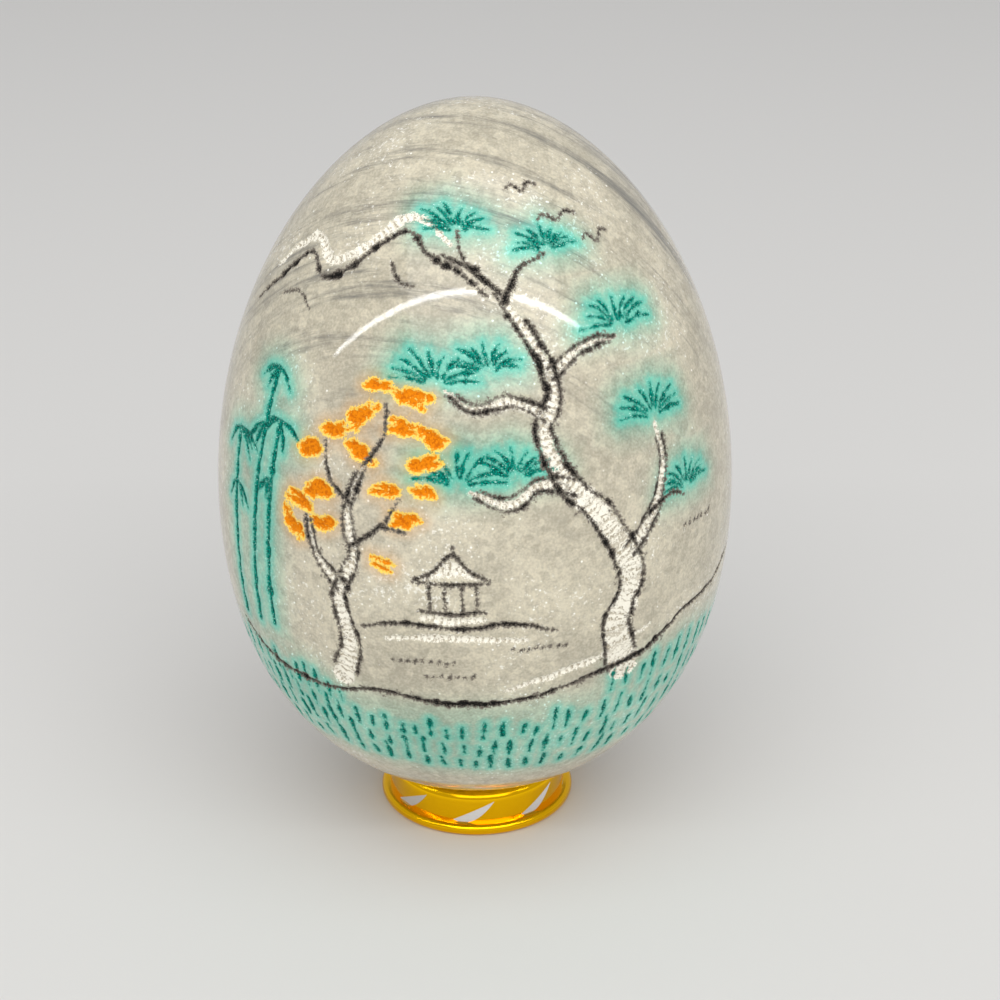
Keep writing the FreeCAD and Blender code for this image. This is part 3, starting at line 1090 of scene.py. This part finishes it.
    def build(self) -> None:
        """Makes the ring, cuts and dresses it, and sets it on its body."""
        ring = self.make_tube()
        self.cut_facets(ring)
        self.shade(ring)
        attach(ring, self.body)
        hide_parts(self.node)
        log.info("ring_gold: %d faces, materials %s", len(ring.data.polygons),
                 [material.name for material in ring.data.materials])


# The finishes

Adder = Callable[..., Node]  # add_node for one material

ADD, MULTIPLY, MULTIPLY_ADD, MAXIMUM, SINE = (
    {"operation": name} for name in ("ADD", "MULTIPLY", "MULTIPLY_ADD", "MAXIMUM", "SINE"))
SMOOTH = {"interpolation_type": "SMOOTHSTEP"}
COLOUR = {"data_type": "RGBA"}
BELOW, ABOVE, MIXED = 6, 7, 2  # the colour mix node's sockets for its two colours and its result


@dataclass(frozen=True)
class Coat:
    """A matt mineral paint in the cuts, or bright specks of bare stone beside them painted as a glint.

    It follows a layer of strokes. Its reach is where it starts and where it covers, in
    millimetres inside their edges, and it turns from its first to its second colour as its
    pattern passes the limits.
    """

    layer: str
    reach: tuple[float, float]
    pattern: str
    limits: tuple[float, float]
    first: str
    second: str


# In the order in which they lie over each other
COATS = {
    # White darkens to its first colour in the ridges' valleys, painted shade, and with random grit
    "white": Coat("white", (-0.05, 0.07), "crushed", (0.26, 0.54), "b7ac96", "fffaea"),
    "teal": Coat("teal", (-0.1, 0.08), "dust", (0.4, 0.6), "003f38", "009580"),
    # Bright specks of bare stone by the teal cuts: a painted glint, not paint in a cut
    "painted_sparkle": Coat("teal", (-0.34, -0.16), "dust", (0.6, 0.7), "3fcfb9", "dcfff6"),
    "orange": Coat("orange", (-0.22, -0.1), "thinned", (0.56, 0.76), "ffdb68", "ee8a0a"),
    "ember": Coat("orange", (0.06, 0.2), "grit", (0.36, 0.58), "cf6a05", "ee8a0a"),
    "black": Coat("black", (-0.13, 0.1), "worn", (0.2, 0.58), "151312", "7a7268"),
}


@dataclass(frozen=True)
class Halo:
    """Airbrushed colour round a layer's strokes.

    It starts about that many millimetres inside their edges, below nought outside them, and
    covers the stone at most by its share.
    """

    layer: str
    start: float
    share: float
    colour: str


@dataclass(frozen=True)
class PolishedMarble:
    """Polished grey-white marble: a crystalline, slightly see-through stone with a glassy skin.

    The crystals show as a fine mottling, and thin grey layers run round the upper part. A few
    bright crystals, with the glint of those that face the light, are painted into the colour as
    white specks, painted highlights, as are bright specks of bare stone by the teal cuts.
    Calcite has an IOR of about 1.57. The cuts are rough crushed stone that holds matt paint, with
    soft sprayed colour round some, and the white's ridges darken in their valleys, painted shade.
    Real grit and dust are too fine to show, so theirs are drawn coarser.
    """

    light_stone: str = "dcd4bd"
    dark_stone: str = "afa895"
    grey_layer: str = "75736c"
    # Colour of bright crystals and of the painted glint highlights
    crystal_and_glint: str = "fffdf4"
    wash: str = "a6fffb"
    halos: tuple[Halo, ...] = (Halo("teal", -0.8, 0.62, "3fcfb9"), Halo("orange", -1.3, 0.42, "dfa75e"))
    ior: float = 1.57
    polish: float = 0.04
    paint_roughness: float = 0.62
    stone_gloss: float = 0.5
    paint_gloss: float = 0.06
    see_through: float = 0.3
    see_through_mm: float = 1.6
    bump_mm: float = 0.12
    polish_bump: float = 0.02
    paint_bump: float = 0.85
    cloud_mm: float = 9.0
    grain_mm: float = 0.7
    fine_grain_mm: float = 0.24
    grit_mm: float = 0.26
    dust_mm: float = 0.13
    ridge_mm: float = 0.62
    peck_mm: float = 0.52
    layer_mm: float = 2.2
    layer_length_mm: float = 26.0
    layer_tilt: tuple[float, float] = (-55.0, 26.0)
    layer_heights: tuple[float, float] = (42.0, 62.0)
    glint_mm: float = 0.62
    flake_mm: float = 0.42

    def stone(self, add: Adder, place: Node) -> NodeSocket:
        """Colours the bare stone.

        Args:
            add: adds a node to the marble.
            place: the node that gives places in millimetres.

        Returns:
            The colour's socket.
        """
        tone = add("TexNoise", inputs={
            "Vector": place, "Scale": 1 / self.cloud_mm, "Detail": 4.0, "Roughness": 0.6})
        grains = add("TexVoronoi", {"feature": "SMOOTH_F1"}, {
            "Vector": place, "Scale": 1 / self.grain_mm, "Smoothness": 0.6})
        fine = add("TexNoise", inputs={
            "Vector": place, "Scale": 1 / self.fine_grain_mm, "Detail": 2.0})
        for pattern, weight in ((grains.outputs["Color"], 0.42), (fine, 0.8)):
            tone = add("Math", MULTIPLY_ADD, {0: pattern, 1: weight, 2: tone})
        mottling = add("MapRange", SMOOTH, {"Value": tone, "From Min": 0.7, "From Max": 1.48})
        colour = linear(self.dark_stone)
        # The last share paints white specks for bright crystals and their glint, a painted highlight
        for share, tint in ((mottling, self.light_stone), (self.layers(add, place), self.grey_layer),
                            (self.flakes_and_painted_glints(add, place), self.crystal_and_glint)):
            colour = add("Mix", COLOUR, {0: share, BELOW: colour, ABOVE: linear(tint)}).outputs[MIXED]
        return colour

    def layers(self, add: Adder, place: Node) -> Node:
        """Lays thin wispy grey layers that rise to the front and fall to the right.

        Args:
            add: adds a node to the marble.
            place: the node that gives places in millimetres.

        Returns:
            The node that gives how far they cover.
        """
        turn = [math.radians(angle) for angle in self.layer_tilt]
        long, thin = self.layer_length_mm, self.layer_mm
        tilted = add("Mapping", {"vector_type": "TEXTURE"}, {
            "Vector": place, "Rotation": (*turn, 0), "Scale": (long, long, thin)})
        bands = add("TexNoise", inputs={
            "Vector": tilted, "Scale": 1.0, "Detail": 6.0, "Roughness": 0.78, "Distortion": 0.2})
        height = add("SeparateXYZ", inputs={"Vector": place}).outputs["Z"]
        low, high = self.layer_heights
        upper = add("MapRange", SMOOTH, {
            "Value": height, "From Min": low, "From Max": high, "To Min": 0.12, "To Max": 0.95})
        share = add("MapRange", SMOOTH, {"Value": bands, "From Min": 0.47, "From Max": 0.72})
        return add("Math", MULTIPLY, {0: share, 1: upper})

    def flakes_and_painted_glints(self, add: Adder, place: Node) -> Node:
        """Scatters single bright crystals and white specks painted as the glint of crystals facing the
        light, painted highlights, closer together in some patches.

        Args:
            add: adds a node to the marble.
            place: the node that gives places in millimetres.

        Returns:
            The node that gives how bright each place is.
        """
        cells = add("TexVoronoi", inputs={"Vector": place, "Scale": 1 / self.glint_mm})
        patches = add("TexNoise", inputs={"Vector": place, "Scale": 1 / self.cloud_mm, "Detail": 1.0})
        luck = add("SeparateColor", inputs={"Color": cells.outputs["Color"]})
        chance = add("Math", MULTIPLY_ADD, {0: patches, 1: 1.1, 2: luck.outputs["Red"]})
        chosen = add("MapRange", SMOOTH, {"Value": chance, "From Min": 1.38, "From Max": 1.48})
        spot = add("MapRange", SMOOTH, {
            "Value": cells.outputs["Distance"], "From Min": 0.24, "From Max": 0.08})
        points = add("Math", MULTIPLY, {0: chosen, 1: spot})
        flakes = add("TexNoise", inputs={
            "Vector": place, "Scale": 1 / self.flake_mm, "Detail": 2.0, "Roughness": 0.7})
        flakes = add("Math", MULTIPLY_ADD, {0: patches, 1: 0.6, 2: flakes})
        flakes = add("MapRange", SMOOTH, {
            "Value": flakes, "From Min": 0.96, "From Max": 1.07, "To Max": 0.6})
        return add("Math", MAXIMUM, {0: points, 1: flakes})

    def patterns(self, add: Adder, place: Node) -> dict:
        """Reads the strokes' attributes and makes the patterns that break the paint up.

        Args:
            add: adds a node to the marble.
            place: the node that gives places in millimetres.

        Returns:
            A node or socket for each, by name.
        """
        names = [*(pigment.value for pigment in Pigment), "white_run", "black_run"]
        maps = {name: add("Attribute", {"attribute_name": name}).outputs["Fac"] for name in names}
        grit = add("TexNoise", inputs={
            "Vector": place, "Scale": 1 / self.grit_mm, "Detail": 3.0, "Roughness": 0.6})
        dust = add("TexNoise", inputs={"Vector": place, "Scale": 1 / self.dust_mm, "Detail": 1.0})
        # Waves across a stroke are teeth along the black and ridges of crushed stone in the white, whose
        # valleys the white's colour darkens as painted shade
        for name, spacing, unrest in (("black", self.peck_mm, 11.0), ("white", self.ridge_mm, 13.0)):
            phase = add("Math", MULTIPLY, {0: maps[name + "_run"], 1: math.tau / spacing})
            phase = add("Math", MULTIPLY_ADD, {0: grit, 1: unrest, 2: phase})
            maps[name + "_waves"] = add("Math", SINE, {0: phase})
        # Orange thins to yellow at its edge, and black is worn thin where a cut is narrow
        thinned = add("Math", MULTIPLY_ADD, {0: grit, 1: 1.2, 2: maps["orange"]})
        worn = add("Math", MULTIPLY_ADD, {0: maps["black"], 1: -0.9, 2: dust})
        return {**maps, "grit": grit, "dust": dust, "thinned": thinned, "worn": worn}

    def outlines(self, add: Adder, maps: dict) -> dict[str, Node]:
        """Works out where each coat lies, with a ragged edge.

        Args:
            add: adds a node to the marble.
            maps: the attributes and patterns, by name.

        Returns:
            The node that gives how far each coat covers, by name.
        """
        ragged = -0.45
        for name, weight in (("grit", 0.5), ("dust", 0.4)):
            ragged = add("Math", MULTIPLY_ADD, {0: maps[name], 1: weight, 2: ragged})
        toothed = add("Math", MULTIPLY_ADD, {0: maps["black_waves"], 1: 0.07, 2: ragged})
        masks = {}
        for name, coat in COATS.items():
            edge = add("Math", ADD, {0: maps[coat.layer], 1: toothed if name == "black" else ragged})
            start, full = coat.reach
            masks[name] = add("MapRange", SMOOTH, {"Value": edge, "From Min": start, "From Max": full})
        # Single bare crystals in and beside the teal strokes are painted as bright specks, a painted
        # glint
        bare = add("MapRange", SMOOTH, {"Value": maps["dust"], "From Min": 0.67, "From Max": 0.76})
        masks["painted_sparkle"] = add("Math", MULTIPLY, {0: bare, 1: masks["painted_sparkle"]})
        return masks

    def spray(self, add: Adder, maps: dict, colour: NodeSocket) -> NodeSocket:
        """Sprays the wash and the halos over the stone.

        Args:
            add: adds a node to the marble.
            maps: the attributes and patterns, by name.
            colour: of the stone.

        Returns:
            The colour's socket.
        """
        # The wash takes mostly red away, as a thin glaze over pale stone does
        mist = add("Math", MULTIPLY_ADD, {0: maps["grit"], 1: 0.6, 2: 0.7})
        mist = add("Math", {**MULTIPLY, "use_clamp": True}, {0: maps["wash"], 1: mist})
        colour = add("Mix", {**COLOUR, "blend_type": "MULTIPLY"}, {
            0: mist, BELOW: colour, ABOVE: linear(self.wash)}).outputs[MIXED]
        for halo in self.halos:
            rim = add("Math", MULTIPLY_ADD, {0: maps["grit"], 1: 0.5, 2: maps[halo.layer]})
            rim = add("MapRange", SMOOTH, {
                "Value": rim, "From Min": halo.start, "From Max": 0.4, "To Max": halo.share})
            colour = add("Mix", COLOUR, {
                0: rim, BELOW: colour, ABOVE: linear(halo.colour)}).outputs[MIXED]
        return colour

    def paint(self, add: Adder, maps: dict, masks: dict, colour: NodeSocket) -> NodeSocket:
        """Lays the coats of paint one over another.

        Args:
            add: adds a node to the marble.
            maps: the attributes and patterns, by name.
            masks: how far each coat covers, by name.
            colour: of the sprayed stone.

        Returns:
            The colour's socket.
        """
        for name, coat in COATS.items():
            low, high = coat.limits
            share = add("MapRange", SMOOTH, {
                "Value": maps[coat.pattern], "From Min": low, "From Max": high})
            tint = add("Mix", COLOUR, {0: share, BELOW: linear(coat.first), ABOVE: linear(coat.second)})
            colour = add("Mix", COLOUR, {
                0: masks[name], BELOW: colour, ABOVE: tint.outputs[MIXED]}).outputs[MIXED]
        return colour

    def build(self) -> Material:
        """Makes the marble with its wash and painted cuts.

        Returns:
            The finish.
        """
        material = new_material("polished_marble")
        add = partial(add_node, material)
        coordinates = add("TexCoord").outputs["Object"]
        place = add("Mapping", inputs={"Vector": coordinates, "Scale": (1 / MM,) * 3})
        maps = self.patterns(add, place)
        masks = self.outlines(add, maps)
        # The white's ridges give the bump its relief and darken the white's colour in their valleys,
        # painted shade
        ridges = add("Math", MULTIPLY, {0: maps["white_waves"], 1: masks["white"]})
        maps["crushed"] = add("Math", MULTIPLY_ADD, {0: ridges, 1: 0.16, 2: maps["grit"]})
        colour = self.spray(add, maps, self.stone(add, place))
        colour = self.paint(add, maps, masks, colour)

        painted = masks["white"]
        for name in ("teal", "orange", "black"):
            painted = add("Math", MAXIMUM, {0: painted, 1: masks[name]})
        polish = add("MapRange", inputs={
            "Value": maps["dust"], "To Min": self.polish * 0.5, "To Max": self.polish * 1.6})
        roughness = add("Mix", inputs={0: painted, 2: polish, 3: self.paint_roughness})
        see_through, gloss, strength = (
            add("MapRange", inputs={"Value": painted, "To Min": stone, "To Max": paint})
            for stone, paint in ((self.see_through, 0.0), (self.stone_gloss, self.paint_gloss),
                                 (self.polish_bump, self.paint_bump)))
        bump = add("Bump", inputs={
            "Strength": strength, "Distance": self.bump_mm * MM, "Height": maps["crushed"]})
        finish_material(material, {
            "Base Color": colour, "Roughness": roughness, "IOR": self.ior, "Normal": bump,
            "Specular IOR Level": gloss, "Subsurface Weight": see_through,
            "Subsurface Radius": (1.0, 0.85, 0.7), "Subsurface Scale": self.see_through_mm * MM})
        return material


@dataclass(frozen=True)
class TurnedMetal:
    """Turned aluminium with faint lines round it, which streak its reflections a little.

    Anodised gold it is a yellow mirror that turns orange where it reflects itself. Cut with a
    diamond tool it is bare, silvery and nearly a mirror. Real tool lines are too fine to show,
    so these are drawn coarser.
    """

    name: str
    colour: str
    roughness: float
    line_mm: float
    streak_mm: float = 40.0
    line_height_mm: float = 0.004

    def build(self) -> Material:
        """Makes the metal.

        Returns:
            The finish.
        """
        material = new_material(self.name)
        add = partial(add_node, material)
        coordinates = add("TexCoord").outputs["Object"]
        long, thin = self.streak_mm * MM, self.line_mm * MM
        stretched = add("Mapping", inputs={
            "Vector": coordinates, "Scale": (1 / long, 1 / long, 1 / thin)})
        lines = add("TexNoise", inputs={"Vector": stretched, "Scale": 1.0, "Detail": 2.0})
        rough = add("MapRange", inputs={
            "Value": lines, "From Min": 0.3, "From Max": 0.7,
            "To Min": self.roughness * 0.6, "To Max": self.roughness * 1.5})
        bump = add("Bump", inputs={
            "Strength": 0.3, "Distance": self.line_height_mm * MM, "Height": lines})
        finish_material(material, {
            "Base Color": linear(self.colour), "Metallic": 1.0, "Roughness": rough, "Normal": bump})
        return material


GOLD = TurnedMetal("gold_anodised_aluminium", "ffc40c", 0.15, 0.16)
BARE = TurnedMetal("diamond_cut_aluminium", "e6e1df", 0.14, 0.12)


@dataclass(frozen=True)
class PaleTable:
    """A plain pale matt table top, which gives the eye nothing but the object's shadow."""

    colour: str = "d9d8d5"
    roughness: float = 0.7

    def build(self) -> Material:
        """Makes the table's finish.

        Returns:
            The finish.
        """
        material = new_material("pale_table")
        finish_material(material, {"Base Color": linear(self.colour), "Roughness": self.roughness})
        return material


# The studio

@dataclass(frozen=True)
class Lamp:
    """A rectangular soft lamp, in metres and watts, which faces its target."""

    name: str
    place: tuple[float, float, float]
    target: tuple[float, float, float]
    size: tuple[float, float]
    watts: float

    def hang(self) -> None:
        """Hangs the lamp in the scene."""
        data = bpy.data.lights.new(self.name, "AREA")
        data.shape = "RECTANGLE"
        data.size, data.size_y = self.size
        data.energy = self.watts
        lamp = bpy.data.objects.new(self.name, data)
        bpy.context.scene.collection.objects.link(lamp)
        lamp.location = self.place
        away = Vector(self.target) - Vector(self.place)
        lamp.rotation_euler = away.to_track_quat("-Z", "Y").to_euler()


@dataclass
class Studio:
    """Table, soft lights and the camera, in metres.

    The overhead lamp gives the plain light, and the strip draws one thin arc on the polish.
    """

    table_size: float = 6.0
    sky_colour: str = "e8e8ea"
    sky_strength: float = 0.62
    overhead: Lamp = Lamp("overhead", (0.1, -0.8, 1.15), (0, 0, 0.04), (1.9, 1.9), 15.5)
    strip: Lamp = Lamp("front_strip", (-0.12, -0.32, 0.385), (-0.12, 0, 0.04), (1.75, 0.014), 1.1)
    aim: tuple[float, float, float] = (0.002506, 0.0, 0.033824)
    camera_distance: float = 0.20469
    camera_elevation: float = 23.304
    lens_mm: float = 72.0
    sensor_mm: float = 36.0

    def lay_table(self) -> None:
        """Lays the table top that the ring stands on."""
        bm = bmesh.new()
        bmesh.ops.create_grid(bm, x_segments=1, y_segments=1, size=self.table_size / 2)
        table = add_object("table_top", bm)
        table.data.materials.append(PaleTable().build())

    def light_sky(self) -> None:
        """Lights the scene evenly from all round."""
        world = bpy.data.worlds.new("studio_air")
        world.use_nodes = True
        world.node_tree.nodes.clear()
        background = add_node(world, "Background", inputs={
            "Color": linear(self.sky_colour), "Strength": self.sky_strength})
        add_node(world, "OutputWorld", inputs={"Surface": background})
        bpy.context.scene.world = world

    def place_camera(self) -> None:
        """Sets the camera at the photograph's viewing angle."""
        data = bpy.data.cameras.new("camera")
        data.lens = self.lens_mm
        data.sensor_width = self.sensor_mm
        data.clip_start, data.clip_end = 0.01, 50.0
        camera = bpy.data.objects.new("camera", data)
        bpy.context.scene.collection.objects.link(camera)
        tilt = math.radians(self.camera_elevation)
        back = Vector((0, -math.cos(tilt), math.sin(tilt)))
        camera.location = Vector(self.aim) + self.camera_distance * back
        camera.rotation_euler = (math.radians(90) - tilt, 0, 0)
        bpy.context.scene.camera = camera

    def build(self) -> None:
        """Sets up everything that isn't the object."""
        self.lay_table()
        self.light_sky()
        self.overhead.hang()
        self.strip.hang()
        self.place_camera()
        bpy.context.scene.view_settings.view_transform = "Standard"
        log.info("studio: table, sky, lamps and camera")


def main() -> None:
    """Builds the object and the studio."""
    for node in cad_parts:
        log.info("packed node: %s", node)
    RingStand().build()
    StoneEgg().build()
    Studio().build()


if __name__ == "__main__":
    main()
